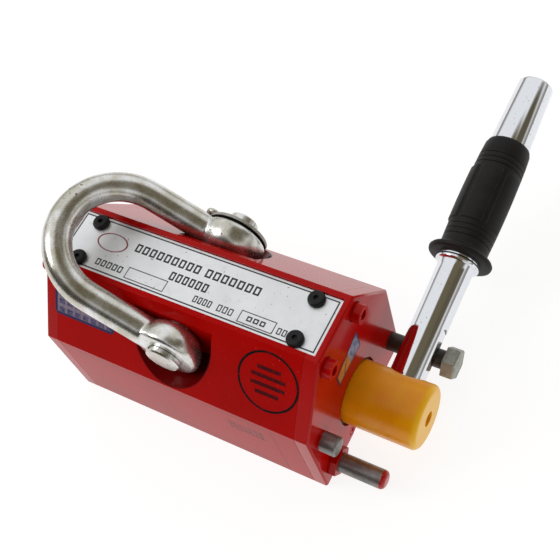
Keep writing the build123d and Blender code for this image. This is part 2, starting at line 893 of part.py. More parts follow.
with BuildPart() as split_pin:
    with BuildSketch(split_plane):
        Circle(split_pin_radius)
    extrude(amount=split_pin_reach, both=True)
    eye_centre = split_plane.origin + bow_out * (split_pin_reach + split_pin_eye - split_pin_radius)
    with Locations(Plane(origin=eye_centre, x_dir=bow_out, z_dir=split_plane.x_dir)):
        Torus(split_pin_eye, split_pin_radius - running_fit)
save(split_pin, "split_pin")

print("lever turn", round(lever_turn, 2), "stop bolt height", round(stop_bolt_z, 3))
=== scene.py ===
"""Finish and detail of the permanent lifting magnet: paint, plating, forging, rubber and prints."""

import math

import bpy
from mathutils import Matrix, Quaternion, Vector
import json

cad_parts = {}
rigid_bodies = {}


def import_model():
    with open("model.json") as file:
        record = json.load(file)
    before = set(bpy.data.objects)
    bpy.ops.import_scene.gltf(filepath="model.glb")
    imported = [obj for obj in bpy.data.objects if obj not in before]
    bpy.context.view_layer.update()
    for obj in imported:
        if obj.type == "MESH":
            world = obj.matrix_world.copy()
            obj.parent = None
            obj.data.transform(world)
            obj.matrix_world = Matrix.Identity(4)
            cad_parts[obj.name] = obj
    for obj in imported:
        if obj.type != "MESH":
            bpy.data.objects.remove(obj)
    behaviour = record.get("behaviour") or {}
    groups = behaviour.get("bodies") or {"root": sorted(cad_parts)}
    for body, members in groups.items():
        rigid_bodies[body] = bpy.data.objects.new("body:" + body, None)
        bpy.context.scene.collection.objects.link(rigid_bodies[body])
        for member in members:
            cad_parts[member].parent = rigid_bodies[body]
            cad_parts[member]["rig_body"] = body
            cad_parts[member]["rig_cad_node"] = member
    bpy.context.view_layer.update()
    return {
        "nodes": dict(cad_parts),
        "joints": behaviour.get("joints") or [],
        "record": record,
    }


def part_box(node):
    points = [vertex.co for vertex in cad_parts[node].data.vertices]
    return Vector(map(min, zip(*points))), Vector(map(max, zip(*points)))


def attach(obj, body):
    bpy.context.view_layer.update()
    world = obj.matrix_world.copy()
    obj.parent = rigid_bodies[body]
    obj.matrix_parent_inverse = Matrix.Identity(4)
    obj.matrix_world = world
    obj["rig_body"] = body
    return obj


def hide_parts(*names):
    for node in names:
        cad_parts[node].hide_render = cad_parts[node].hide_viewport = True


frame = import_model()

MM = 0.001
NODES = frame["nodes"]
JOINTS = {joint["name"]: joint for joint in frame["joints"]}


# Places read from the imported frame

YOKE_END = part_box("pole_yoke_near")[1].x
BODY_END, BODY_HALF_WIDTH, BODY_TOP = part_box("front_end_cover")[1]
PLATE_HALF_LENGTH, PLATE_HALF_WIDTH, PLATE_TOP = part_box("nameplate")[1]
HUB_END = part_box("hub")[1].x
BOLT_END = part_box("stop_bolt")[1].x
LONG_PIN_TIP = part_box("long_stop_pin")[1].x
WASHER_INNER_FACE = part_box("shackle_washer")[0].y
PIN_HEIGHT = JOINTS["shackle_swing"]["pos_m"][2]
LEVER_ROOT = Vector(JOINTS["rotor_turn"]["pos_m"])
LEVER_ACROSS = Vector(JOINTS["lever_tilt"]["axis"])
LEVER_OUT = Vector((0, -LEVER_ACROSS.z, LEVER_ACROSS.y))
BODY_ALONG = Vector((1, 0, 0))

# The shoulder between the side and the top of the body
TOP_HALF_FLAT = 19 * MM
SIDE_HEIGHT = 59 * MM
SHOULDER_DOWN = Vector((0, BODY_HALF_WIDTH - TOP_HALF_FLAT, SIDE_HEIGHT - BODY_TOP)).normalized()
SHOULDER_STRETCH = 1 / -SHOULDER_DOWN.z  # length down the shoulder for each unit of height
PRINT_TOP = BODY_TOP - 0.5 * MM

# How deep or how far along a piece its finish changes
POLE_FACE_DEPTH = 0.2 * MM
PLATE_FACE_DEPTH = 0.1 * MM
BOLT_HEAD_THICKNESS = 7.5 * MM
# Width of the washer's painted shade band next to the eye
WASHER_SHADE_DEPTH = 0.35 * MM
PIN_TIP_PAINT = 1.7 * MM
PIN_ROOT_PAINT = 0.3 * MM
PIN_PAINT_EDGE = 1.6 * MM  # how uneven the edge of the paint is
# Painted highlight towards the hub's end: it fades in over this length and is full this far from the end
HUB_NOSE = 5 * MM
HUB_NOSE_EDGE = 0.5 * MM

# The pockets that the shackle's eyes swing in, where the enamel is darkened as painted shade
POCKET_HEIGHT = 83 * MM
POCKET_RADIUS = 23.6 * MM
POCKET_FLOOR = 22.8 * MM

# The plain ring on the near shoulder, and its bars: half length and distance from the middle in millimetres
RING_ALONG = 56 * MM
RING_HEIGHT = 80.4 * MM
RING_RADIUS = 16.3 * MM
RING_LINE = 1.3 * MM
RING_BARS = [(6.5, 7), (9.5, 2.4)]
RING_BAR_THICKNESS = 2.2 * MM

# The thin line round the near side, and the faint rows of marks inside it
SIDE_LINE = 0.45 * MM
SIDE_FRAME_MIDDLE = -7 * MM
SIDE_FRAME_HALF_LENGTH = 66 * MM
SIDE_FRAME_LOW = 6 * MM
SIDE_FRAME_HIGH = 54.8 * MM
MARKS_START = 30 * MM
MARKS_END = 52 * MM
MARKS_LOW = 36 * MM
MARKS_HIGH = 47 * MM
MARK_PITCH = 3.1 * MM
MARK_LENGTH = 2.3 * MM
MARK_ROW_PITCH = 3.6 * MM
MARK_ROW_HEIGHT = 1.7 * MM

# Nameplate: its boxes have a middle, a half length and a half width in millimetres
PLATE_BORDER_INSET = (1.6 * MM, 1.5 * MM)
PLATE_BORDER_LINE = 0.75 * MM
PLATE_BOX_LINE = 0.5 * MM
PLATE_BOXES = [(-23, -9.5, 11.8, 3.1), (42.5, -9.9, 9.6, 3.1)]
# Its rows of blocks have a start, an end, a middle across, a height, a pitch and a line in millimetres
PLATE_ROWS = [
    (-38, 2.6, 5.2, 4.9, 4.51, 1.0),
    (5, 37.6, 5.2, 4.9, 4.66, 1.0),
    (-12, 11.2, -2.8, 4.9, 3.9, 0.95),
    (-54.5, -37.2, -9.4, 3.8, 3.5, 0.7),
    (6.2, 17.4, -10, 3.8, 2.8, 0.65),
    (20.2, 29.6, -10, 3.8, 3.2, 0.6),
    (37, 48, -9.9, 2.8, 3.7, 0.75),
    (54, 59.4, -10.4, 3.6, 2.9, 0.6),
]
BLOCK_SHARE = 0.76  # the share of its pitch that a block takes
OVAL_MIDDLE = (-52 * MM, 3.2 * MM)
OVAL_HALF_LENGTH = 8.9 * MM
OVAL_HALF_WIDTH = 5.1 * MM
OVAL_LINE_SHARE = 0.055  # half of its line's width, where its own half width is 1

# The label on the near shoulder and the slanted sticker on the front cover
SHEET_THICKNESS = 0.06 * MM
SHEET_GAP = 0.02 * MM
LABEL_ALONG = -55 * MM
LABEL_HEIGHT = 80 * MM
LABEL_HALF_LENGTH = 19.5 * MM
LABEL_HALF_WIDTH = 8.6 * MM
LABEL_CORNER = 2.5 * MM
LABEL_BORDER = 1.6 * MM
LABEL_BLOCK_LENGTH = 3.6 * MM
LABEL_BLOCK_WIDTH = 3 * MM
LABEL_COLUMN_PITCH = 5.2 * MM
LABEL_ROW_PITCH = 5 * MM
LABEL_COLUMN_START = -1 * MM
LABEL_ROW_START = -1.2 * MM
STICKER_LEFT = -11.6 * MM
STICKER_RIGHT = 13 * MM
STICKER_TOP_LEFT = 66.4 * MM
STICKER_TOP_RIGHT = 72.7 * MM
STICKER_BASE_LEFT = 57.5 * MM
STICKER_BASE_RIGHT = 58.2 * MM
STICKER_BORDER = 1.1 * MM
STICKER_ORANGE_LENGTH = 13.5 * MM
STICKER_ARC_MIDDLE = (STICKER_LEFT + 30 * MM, 50 * MM)
STICKER_ARC_RADIUS = 25 * MM
STICKER_ARC_LINE = 0.7 * MM


# Shader maths


class Signal:
    """An output in a node tree, with arithmetic on it."""

    def __init__(self, tree, socket):
        self.tree = tree
        self.socket = socket

    def maths(self, operation, *values):
        return self.tree.node("ShaderNodeMath", {"operation": operation}, dict(enumerate(values)))

    def __add__(self, other):
        return self.maths("ADD", self, other)

    __radd__ = __add__

    def __sub__(self, other):
        return self.maths("SUBTRACT", self, other)

    def __rsub__(self, other):
        return self.maths("SUBTRACT", other, self)

    def __mul__(self, other):
        return self.maths("MULTIPLY", self, other)

    __rmul__ = __mul__

    def __truediv__(self, other):
        return self.maths("DIVIDE", self, other)

    def __mod__(self, other):
        return self.maths("FLOORED_MODULO", self, other)

    def __abs__(self):
        return self.maths("ABSOLUTE", self)

    def __gt__(self, other):
        return self.maths("GREATER_THAN", self, other)

    def __lt__(self, other):
        return self.maths("LESS_THAN", self, other)

    def root(self):
        return self.maths("SQRT", self)

    def larger(self, other):
        return self.maths("MAXIMUM", self, other)

    def smaller(self, other):
        return self.maths("MINIMUM", self, other)

    def ramp(self, low, high):
        """0 below low and 1 above high, with a smooth rise between."""
        return self.tree.node(
            "ShaderNodeMapRange",
            {"interpolation_type": "SMOOTHSTEP"},
            {"Value": self, "From Min": low, "From Max": high},
        )


class ShaderTree:
    """The nodes of a material or of the world, round one shader."""

    def __init__(self, owner, shader, **constants):
        owner.use_nodes = True
        self.nodes = owner.node_tree.nodes
        self.links = owner.node_tree.links
        self.shader = self.nodes[shader]
        for socket, value in constants.items():
            self.shader.inputs[socket.replace("_", " ")].default_value = value

    def node(self, kind, settings, inputs, output=0):
        """Adds a node: its settings first, then its inputs, and gives one of its outputs."""
        made = self.nodes.new(kind)
        for name, value in settings.items():
            setattr(made, name, value)
        for name, value in inputs.items():
            if isinstance(value, Signal):
                self.links.new(value.socket, made.inputs[name])
            else:
                made.inputs[name].default_value = value
        return Signal(self, made.outputs[output])

    def mix(self, factor, low, high):
        """A colour between two colours."""
        return self.node("ShaderNodeMix", {"data_type": "RGBA"}, {0: factor, 6: low, 7: high}, 2)

    def feed(self, socket, signal):
        self.links.new(signal.socket, self.shader.inputs[socket])


class Finish(ShaderTree):
    """A material round one Principled shader."""

    def __init__(self, name, **constants):
        self.material = bpy.data.materials.new(name)
        super().__init__(self.material, "Principled BSDF", **constants)
        self.place = self.node("ShaderNodeTexCoord", {}, {}, "Object")
        self.x = self.node("ShaderNodeSeparateXYZ", {}, {0: self.place}, "X")
        self.y, self.z = [Signal(self, self.x.socket.node.outputs[axis]) for axis in "YZ"]

    def noise(self, size, detail=2.0, roughness=0.5, stretch=(1, 1, 1)):
        """Noise whose blotches are about size metres across."""
        place = self.place
        if stretch != (1, 1, 1):
            place = self.node("ShaderNodeMapping", {}, {"Vector": place, "Scale": stretch})
        return self.node(
            "ShaderNodeTexNoise",
            {},
            {"Vector": place, "Scale": 1 / size, "Detail": detail, "Roughness": roughness},
        )

    def surface(self, base, roughness, relief, depth, strength=0.4):
        """Feeds colour, roughness and a relief that is depth metres high at 1, and gives the material."""
        raised = {"Height": relief, "Distance": depth, "Strength": strength}
        self.feed("Base Color", base)
        self.feed("Roughness", roughness)
        self.feed("Normal", self.node("ShaderNodeBump", {}, raised, "Normal"))
        return self.material


def colour(red, green, blue):
    return (red, green, blue, 1.0)


def between(value, low, high):
    """1 where a value lies between two limits."""
    return (value > low) * (value < high)


def distance(across, along):
    """Distance of a point from a middle, from how far it is across and along."""
    return (across * across + along * along).root()


def stripes(value, pitch, width):
    """1 on stripes that are one pitch apart."""
    return (value % pitch) < width


def outline(across, along, half_across, half_along, line):
    """1 on the line round a rectangle."""
    edge = (abs(across) - half_across).larger(abs(along) - half_along)
    return abs(edge) < line / 2


def block_row(finish, start, end, middle, height, pitch, line):
    """A row of plain open blocks that stands for a line of print."""
    width = BLOCK_SHARE * pitch
    across = ((finish.x - start) % pitch) - width / 2
    along = finish.y - middle
    row = between(finish.x, start, end)
    return row * outline(across, along, (width - line) / 2, (height - line) / 2, line)


def down_shoulder(finish, height):
    """How far down the shoulder a point lies from a height."""
    return (height - finish.z) * SHOULDER_STRETCH


# Materials

PAINT_RED = colour(0.47, 0.0025, 0.0015)
PAINT_SHADE = colour(0.41, 0.002, 0.001)
PAINT_DUST = colour(0.75, 0.12, 0.10)
# Painted shade: the dark red for the pockets round the shackle's eyes
POCKET_PAINTED_SHADE = colour(0.055, 0.0015, 0.002)
PAINT_RELIEF = 0.045 * MM
PAINT_RELIEF_STRENGTH = 0.35


def pole_face_steel(finish, grind, wear):
    """Ground steel with grinding marks across the body and brown worn patches."""
    steel = finish.mix(grind, colour(0.36, 0.35, 0.34), colour(0.56, 0.55, 0.54))
    return finish.mix(wear.ramp(0.55, 0.80) * 0.5, steel, colour(0.24, 0.19, 0.15))


def paint_coat(finish):
    """Colour, roughness and relief of the glossy enamel and of the bare pole faces under the body, with
    painted shade in the shackle's eye pockets.
    """
    drift = finish.noise(45 * MM, 3.0)
    peel = finish.noise(2.2 * MM, 2.0, 0.45)
    dust = finish.noise(1.1 * MM, 1.0).ramp(0.74, 0.80)
    base = finish.mix(drift.ramp(0.3, 0.7), PAINT_SHADE, PAINT_RED)
    base = finish.mix(dust * 0.35, base, PAINT_DUST)
    # Painted shade: the pockets round the shackle's eyes are darkened where shade falls in them
    in_circle = distance(finish.x, finish.z - POCKET_HEIGHT) < POCKET_RADIUS
    pocket_shade = in_circle * (abs(finish.y) > POCKET_FLOOR)
    base = finish.mix(pocket_shade * 0.75, base, POCKET_PAINTED_SHADE)
    bare = (finish.z < POLE_FACE_DEPTH) * (abs(finish.x) < YOKE_END)
    grind = finish.noise(0.5 * MM, 4.0, 0.7, (1, 0.04, 1))
    wear = finish.noise(12 * MM, 5.0, 0.65)
    finish.feed("Metallic", 0.92 * bare)
    base = finish.mix(bare, base, pole_face_steel(finish, grind, wear))
    gloss = (0.10 + 0.10 * drift + 0.25 * dust) * (1 - bare) + (0.28 + 0.16 * wear) * bare
    return base, gloss, peel + dust * 0.35 + grind * bare


def machine_paint():
    """Thick glossy red enamel with a faint orange peel."""
    finish = Finish("glossy red enamel", IOR=1.45, Specular_IOR_Level=0.15)
    base, gloss, relief = paint_coat(finish)
    return finish.surface(base, gloss, relief, PAINT_RELIEF, PAINT_RELIEF_STRENGTH)


def ring_print(finish):
    """A ring with four bars in it, on the shoulder."""
    along = finish.x - RING_ALONG
    down = down_shoulder(finish, RING_HEIGHT)
    marks = abs(distance(along, down) - RING_RADIUS) < RING_LINE / 2
    for half_length, aside in RING_BARS:
        bars = (abs(along) < half_length * MM) * (abs(abs(down) - aside * MM) < RING_BAR_THICKNESS / 2)
        marks = marks + bars * 0.85
    return marks * between(finish.z, SIDE_HEIGHT, PRINT_TOP)


def side_print(finish):
    """A thin line round the side and faint rows of marks."""
    along = finish.x - SIDE_FRAME_MIDDLE
    up = finish.z - (SIDE_FRAME_LOW + SIDE_FRAME_HIGH) / 2
    half_height = (SIDE_FRAME_HIGH - SIDE_FRAME_LOW) / 2
    frame_line = outline(along, up, SIDE_FRAME_HALF_LENGTH, half_height, SIDE_LINE)
    area = between(finish.x, MARKS_START, MARKS_END) * between(finish.z, MARKS_LOW, MARKS_HIGH)
    rows = stripes(finish.z - MARKS_LOW, MARK_ROW_PITCH, MARK_ROW_HEIGHT)
    marks = stripes(finish.x, MARK_PITCH, MARK_LENGTH) * area * rows
    return (finish.z < SIDE_HEIGHT) * (frame_line * 0.6 + marks * 0.8)


def printed_paint():
    """The enamel of the near yoke, with a plain black ring on its shoulder and thin lines on its side."""
    # Its specular level is a third of the other enamel's, so this side reflects less and reads darker: a
    # shaded copy of the same enamel
    finish = Finish("red enamel with ring print", IOR=1.45, Specular_IOR_Level=0.05)
    base, gloss, relief = paint_coat(finish)
    worn = finish.noise(1.4 * MM, 3.0).ramp(0.26, 0.40)
    ink = (ring_print(finish) + side_print(finish)).smaller(1.0) * worn
    base = finish.mix(ink, base, colour(0.012, 0.006, 0.008))
    return finish.surface(base, gloss + ink * 0.15, relief, PAINT_RELIEF, PAINT_RELIEF_STRENGTH)


def plate_print(finish):
    """Black border line, empty boxes and plain rows of blocks."""
    x, y = finish.x, finish.y
    half_length = PLATE_HALF_LENGTH - PLATE_BORDER_INSET[0]
    half_width = PLATE_HALF_WIDTH - PLATE_BORDER_INSET[1]
    marks = outline(x, y, half_length, half_width, PLATE_BORDER_LINE)
    for along, across, half_box_length, half_box_width in PLATE_BOXES:
        box_x, box_y = x - along * MM, y - across * MM
        marks = marks + outline(box_x, box_y, half_box_length * MM, half_box_width * MM, PLATE_BOX_LINE)
    for row in PLATE_ROWS:
        marks = marks + block_row(finish, *[size * MM for size in row])
    return marks.smaller(1.0)


def plate_metal(finish, brushed, smudge):
    """Brushed aluminium with smudges, grime and dark specks."""
    grime = finish.noise(7 * MM, 5.0, 0.7).ramp(0.55, 0.78)
    speck = finish.noise(1.3 * MM, 0.0).ramp(0.80, 0.84)
    metal = finish.mix(smudge.ramp(0.3, 0.7), colour(0.74, 0.76, 0.79), colour(0.86, 0.88, 0.90))
    metal = finish.mix(brushed * 0.35, metal, colour(0.80, 0.81, 0.82))
    metal = finish.mix(grime * 0.35, metal, colour(0.52, 0.51, 0.47))
    return finish.mix(speck * 0.8, metal, colour(0.20, 0.17, 0.14))


def printed_plate():
    """Satin aluminium plate with its print and an empty dark red oval."""
    finish = Finish("printed aluminium plate", IOR=1.5)
    oval_x = (finish.x - OVAL_MIDDLE[0]) / OVAL_HALF_LENGTH
    oval_y = (finish.y - OVAL_MIDDLE[1]) / OVAL_HALF_WIDTH
    oval = abs(distance(oval_x, oval_y) - 1) < OVAL_LINE_SHARE
    marks = plate_print(finish)
    top_only = finish.z > PLATE_TOP - PLATE_FACE_DEPTH
    brushed = finish.noise(0.8 * MM, 4.0, 0.7, (0.03, 1, 1))
    smudge = finish.noise(26 * MM, 4.0, 0.6)
    base = finish.mix(marks * top_only, plate_metal(finish, brushed, smudge), colour(0.012, 0.013, 0.018))
    base = finish.mix(oval * top_only, base, colour(0.30, 0.03, 0.05))
    finish.feed("Metallic", 0.7 * (1 - (marks + oval).smaller(1.0) * top_only))
    return finish.surface(base, 0.30 + 0.18 * smudge + 0.08 * brushed, brushed, 0.01 * MM, 0.3)


def forged_zinc():
    """Zinc plating on a forging: cool highlights, yellowish brown chromate in patches, a few rusty pits."""
    finish = Finish("zinc plated forging", Metallic=0.95, IOR=1.6)
    cloud = finish.noise(13 * MM, 5.0, 0.62)
    grain = finish.noise(0.8 * MM, 3.0, 0.6)
    scale = finish.noise(4.5 * MM, 4.0, 0.6)
    patch = finish.noise(18 * MM, 2.0).ramp(0.50, 0.66)
    pits = finish.noise(2.3 * MM, 2.0, 0.5).ramp(0.66, 0.72) * patch
    rust = finish.noise(6 * MM, 4.0, 0.7).ramp(0.62, 0.76) * 0.45
    plating = finish.mix(cloud.ramp(0.36, 0.66), colour(0.54, 0.52, 0.44), colour(0.84, 0.85, 0.86))
    plating = finish.mix(grain * 0.22, plating, colour(0.42, 0.41, 0.38))
    plating = finish.mix(rust, plating, colour(0.30, 0.21, 0.12))
    plating = finish.mix(pits, plating, colour(0.12, 0.07, 0.04))
    roughness = 0.15 + 0.14 * cloud + 0.10 * grain + 0.15 * rust + 0.2 * pits
    return finish.surface(plating, roughness, scale + grain * 0.12 - pits * 0.5, 0.14 * MM, 0.45)


def lever_chrome():
    """Bright chrome plating with faint wipe marks and a few small pits."""
    finish = Finish("chrome plating", Metallic=1.0)
    wipe = finish.noise(9 * MM, 4.0, 0.6)
    pits = finish.noise(0.8 * MM, 0.0).ramp(0.78, 0.82)
    base = finish.mix(pits, colour(0.75, 0.77, 0.81), colour(0.32, 0.27, 0.20))
    roughness = 0.05 + 0.07 * wipe.ramp(0.45, 0.75) + 0.3 * pits
    return finish.surface(base, roughness, finish.noise(14 * MM, 1.0) - pits * 0.1, 0.05 * MM)


def grip_rubber():
    """Moulded black rubber, dull, with a fine grain and a faint pale bloom."""
    finish = Finish("moulded black rubber", IOR=1.48, Specular_IOR_Level=0.22)
    grain = finish.noise(0.5 * MM, 2.0, 0.6)
    bloom = finish.noise(12 * MM, 4.0, 0.6)
    base = finish.mix(bloom.ramp(0.35, 0.75), colour(0.007, 0.006, 0.006), colour(0.014, 0.012, 0.011))
    return finish.surface(base, 0.42 + 0.22 * bloom, grain, 0.05 * MM, 0.5)


def hub_plastic():
    """Cast orange polyurethane, waxy, a little translucent, with a faint turned texture and a painted
    highlight towards its end.
    """
    finish = Finish(
        "cast orange plastic",
        IOR=1.45,
        Specular_IOR_Level=0.35,
        Subsurface_Weight=0.2,
        Subsurface_Radius=(4 * MM, 1.6 * MM, 0.5 * MM),
        Subsurface_Scale=1.0,
    )
    cloud = finish.noise(14 * MM, 4.0, 0.55)
    lathe_marks = finish.noise(0.6 * MM, 2.0, 0.6, (1, 0.12, 0.12))
    scuff = finish.noise(2.6 * MM, 4.0, 0.7).ramp(0.62, 0.80)
    nose_highlight = finish.x.ramp(HUB_END - HUB_NOSE, HUB_END - HUB_NOSE_EDGE)
    base = finish.mix(cloud.ramp(0.3, 0.7), colour(0.98, 0.35, 0.0004), colour(1.0, 0.42, 0.0008))
    # Painted highlight: the end of the hub is painted lighter and yellower where light falls on it
    base = finish.mix(nose_highlight * 0.75, base, colour(1.0, 0.56, 0.004))
    base = finish.mix(scuff * 0.30, base, colour(0.90, 0.50, 0.10))
    return finish.surface(base, 0.22 + 0.14 * cloud + 0.15 * scuff, lathe_marks + scuff * 0.4, 0.03 * MM)


def drawn_steel():
    """Drawn steel pins: grey with streaks along them, enamel on the long pin's tip and at the roots."""
    finish = Finish("drawn steel pin", IOR=1.5)
    streak = finish.noise(0.7 * MM, 4.0, 0.7, (0.06, 1, 1))
    stain = finish.noise(6 * MM, 5.0, 0.65)
    edge = finish.noise(2.4 * MM, 3.0) * PIN_PAINT_EDGE
    tip = finish.x + edge > LONG_PIN_TIP - PIN_TIP_PAINT
    root = finish.x - edge < BODY_END + PIN_ROOT_PAINT
    paint = tip.larger(root)
    steel = finish.mix(stain.ramp(0.35, 0.7), colour(0.25, 0.235, 0.23), colour(0.15, 0.13, 0.12))
    steel = finish.mix(streak * 0.5, steel, colour(0.30, 0.285, 0.275))
    finish.feed("Metallic", 0.85 * (1 - paint))
    roughness = (0.34 + 0.18 * stain) * (1 - paint) + 0.14 * paint
    return finish.surface(finish.mix(paint, steel, PAINT_RED), roughness, streak, 0.03 * MM)


def stop_steel():
    """Stop bolt: blackened shank and a zinc-grey head, brownish where it has rubbed."""
    finish = Finish("blackened stop bolt", IOR=1.5)
    stain = finish.noise(4.5 * MM, 5.0, 0.65)
    grain = finish.noise(0.8 * MM, 3.0, 0.6)
    head = finish.x > BOLT_END - BOLT_HEAD_THICKNESS
    shank = finish.mix(stain.ramp(0.35, 0.7), colour(0.035, 0.028, 0.024), colour(0.075, 0.062, 0.054))
    plated = finish.mix(stain.ramp(0.40, 0.72), colour(0.34, 0.35, 0.31), colour(0.24, 0.22, 0.17))
    finish.feed("Metallic", 0.45 + 0.2 * head)
    roughness = 0.36 + 0.2 * stain + 0.08 * grain
    return finish.surface(finish.mix(head, shank, plated), roughness, grain, 0.05 * MM)


def washer_steel():
    """Plain washer steel, with a near-black band of painted shade on its side towards the eye."""
    finish = Finish("plain washer", Metallic=0.8)
    stain = finish.noise(4 * MM, 4.0, 0.6)
    grain = finish.noise(0.8 * MM, 3.0, 0.6)
    beyond_shade_band = finish.y > WASHER_INNER_FACE + WASHER_SHADE_DEPTH
    # Painted shade: a near-black band next to the eye stands for the shadow in the crease between washer and
    # eye
    dark = finish.mix(stain.ramp(0.3, 0.7), colour(0.020, 0.019, 0.018), colour(0.045, 0.042, 0.038))
    bright = finish.mix(stain.ramp(0.3, 0.7), colour(0.34, 0.33, 0.29), colour(0.48, 0.47, 0.43))
    roughness = 0.36 + 0.15 * stain + 0.08 * grain
    return finish.surface(finish.mix(beyond_shade_band, dark, bright), roughness, grain, 0.03 * MM)


def shoulder_label():
    """A sun-bleached label: dark blue border, mauve grey ground, plain blue blocks."""
    finish = Finish("blue bordered label", Specular_IOR_Level=0.3)
    along = finish.x - LABEL_ALONG
    down = down_shoulder(finish, LABEL_HEIGHT)
    edge = (abs(along) - LABEL_HALF_LENGTH).larger(abs(down) - LABEL_HALF_WIDTH)
    columns = stripes(along - LABEL_COLUMN_START, LABEL_COLUMN_PITCH, LABEL_BLOCK_LENGTH)
    rows = stripes(down - LABEL_ROW_START, LABEL_ROW_PITCH, LABEL_BLOCK_WIDTH)
    worn = finish.noise(1.6 * MM, 4.0, 0.7)
    ground = finish.mix(worn.ramp(0.35, 0.65), colour(0.16, 0.12, 0.18), colour(0.27, 0.22, 0.27))
    ground = finish.mix(columns * rows * worn.ramp(0.3, 0.6), ground, colour(0.022, 0.026, 0.13))
    base = finish.mix(edge > -LABEL_BORDER, ground, colour(0.010, 0.010, 0.085))
    return finish.surface(base, 0.28 + 0.25 * worn, worn, 0.02 * MM, 0.3)


def end_sticker():
    """A slanted sticker: dark blue border, an orange and a grey blue field, with a thin dark arc."""
    finish = Finish("slanted sticker", Specular_IOR_Level=0.3)
    share = (finish.y - STICKER_LEFT) * (1 / (STICKER_RIGHT - STICKER_LEFT))
    top = STICKER_TOP_LEFT + share * (STICKER_TOP_RIGHT - STICKER_TOP_LEFT)
    foot = STICKER_BASE_LEFT + share * (STICKER_BASE_RIGHT - STICKER_BASE_LEFT)
    edge = (top - finish.z).smaller(finish.z - foot)
    edge = edge.smaller(finish.y - STICKER_LEFT).smaller(STICKER_RIGHT - finish.y)
    cloud = finish.noise(3.5 * MM, 4.0, 0.65)
    blue = finish.mix(cloud.ramp(0.35, 0.65), colour(0.05, 0.07, 0.22), colour(0.30, 0.32, 0.40))
    orange = finish.mix(cloud.ramp(0.3, 0.7), colour(0.62, 0.24, 0.04), colour(0.44, 0.15, 0.04))
    base = finish.mix(finish.y > STICKER_LEFT + STICKER_ORANGE_LENGTH, orange, blue)
    from_middle = distance(finish.y - STICKER_ARC_MIDDLE[0], finish.z - STICKER_ARC_MIDDLE[1])
    arc = abs(from_middle - STICKER_ARC_RADIUS) < STICKER_ARC_LINE / 2
    base = finish.mix(arc, base, colour(0.02, 0.02, 0.06))
    base = finish.mix(edge < STICKER_BORDER, base, colour(0.010, 0.012, 0.07))
    return finish.surface(base, 0.22 + 0.2 * cloud, cloud, 0.02 * MM, 0.3)


def worked_metal(name, dark, light, metallic, roughness, grain_size, shine):
    """Machined or plated metal with soft stains and a fine grain."""
    finish = Finish(name, Metallic=metallic, Specular_IOR_Level=shine)
    stain = finish.noise(7 * MM, 4.0, 0.6)
    grain = finish.noise(grain_size * MM, 3.0, 0.6)
    base = finish.mix(stain.ramp(0.3, 0.7), colour(*dark), colour(*light))
    return finish.surface(base, roughness + 0.15 * stain + 0.08 * grain, grain, 0.03 * MM)


# Slot, then name, dark and light colour, metallic, roughness, grain in millimetres and shine
WORKED_METALS = [
    ("bare_steel", "turned steel", (0.40, 0.39, 0.38), (0.56, 0.55, 0.54), 0.95, 0.26, 1.0, 0.5),
    ("black_oxide", "black oxide", (0.008, 0.008, 0.009), (0.020, 0.020, 0.022), 0.3, 0.30, 1.0, 0.25),
    ("brass_strip", "milled brass", (0.50, 0.34, 0.12), (0.66, 0.48, 0.20), 0.95, 0.30, 1.0, 0.5),
    ("magnet_plating", "nickel plating", (0.52, 0.51, 0.48), (0.66, 0.65, 0.62), 1.0, 0.20, 1.0, 0.5),
    ("bronze_bush", "sintered bronze", (0.34, 0.19, 0.08), (0.46, 0.28, 0.13), 0.9, 0.36, 0.5, 0.5),
    ("seal_rubber", "seal rubber", (0.010, 0.010, 0.010), (0.020, 0.019, 0.018), 0.0, 0.52, 0.5, 0.5),
]

FINISHES = {slot: worked_metal(*values) for slot, *values in WORKED_METALS}
FINISHES["red_paint"] = machine_paint()
FINISHES["plate_aluminium"] = printed_plate()
FINISHES["dark_steel"] = stop_steel()
FINISHES["pin_steel"] = drawn_steel()
FINISHES["hub_plastic"] = hub_plastic()
FINISHES["lever_chrome"] = lever_chrome()
FINISHES["grip_rubber"] = grip_rubber()
FINISHES["shackle_zinc"] = forged_zinc()
FINISHES["washer_steel"] = washer_steel()


# Shaping tools

SHARP_EDGE = math.radians(28)
MERGE_DISTANCE = 0.002 * MM
FLAT_ANGLE = math.radians(0.5)


def select_only(piece):
    bpy.ops.object.select_all(action="DESELECT")
    piece.select_set(True)
    bpy.context.view_layer.objects.active = piece


def named(name):
    """The object just added, under its own name."""
    piece = bpy.context.object
    piece.name = name
    piece.data.name = name
    return piece


def apply_modifier(piece, kind, **settings):
    select_only(piece)
    modifier = piece.modifiers.new(kind.lower(), kind)
    for key, value in settings.items():
        setattr(modifier, key, value)
    bpy.ops.object.modifier_apply(modifier=modifier.name)


def break_edges(piece, width, sharp):
    """A small round on every edge that turns by more than an angle."""
    apply_modifier(piece, "BEVEL", width=width, segments=2, limit_method="ANGLE", angle_limit=sharp)


def combine(piece, other, operation):
    """Joins another piece to this one or cuts it out of it, and removes the other."""
    apply_modifier(piece, "BOOLEAN", operation=operation, object=other, solver="EXACT")
    bpy.data.objects.remove(other)


def keep_place(piece):
    """Moves a piece's place, turn and scale into its mesh."""
    select_only(piece)
    bpy.ops.object.transform_apply(location=True, rotation=True, scale=True)


def settle(piece, matrix):
    """Puts a piece in its place and keeps the place in its mesh."""
    piece.matrix_world = matrix @ piece.matrix_world
    keep_place(piece)


def directed(origin, x_axis, y_axis, z_axis):
    """The matrix that takes +X, +Y and +Z to three directions, and the origin to a point."""
    return Matrix.Translation(origin) @ Matrix((x_axis, y_axis, z_axis)).transposed().to_4x4()


def start_shaping(piece):
    """Edit mode, with the whole mesh selected."""
    select_only(piece)
    bpy.ops.object.mode_set(mode="EDIT")
    bpy.ops.mesh.select_all(action="SELECT")


def extrude(x, y, z):
    bpy.ops.mesh.extrude_region_move(TRANSFORM_OT_translate={"value": (x, y, z)})


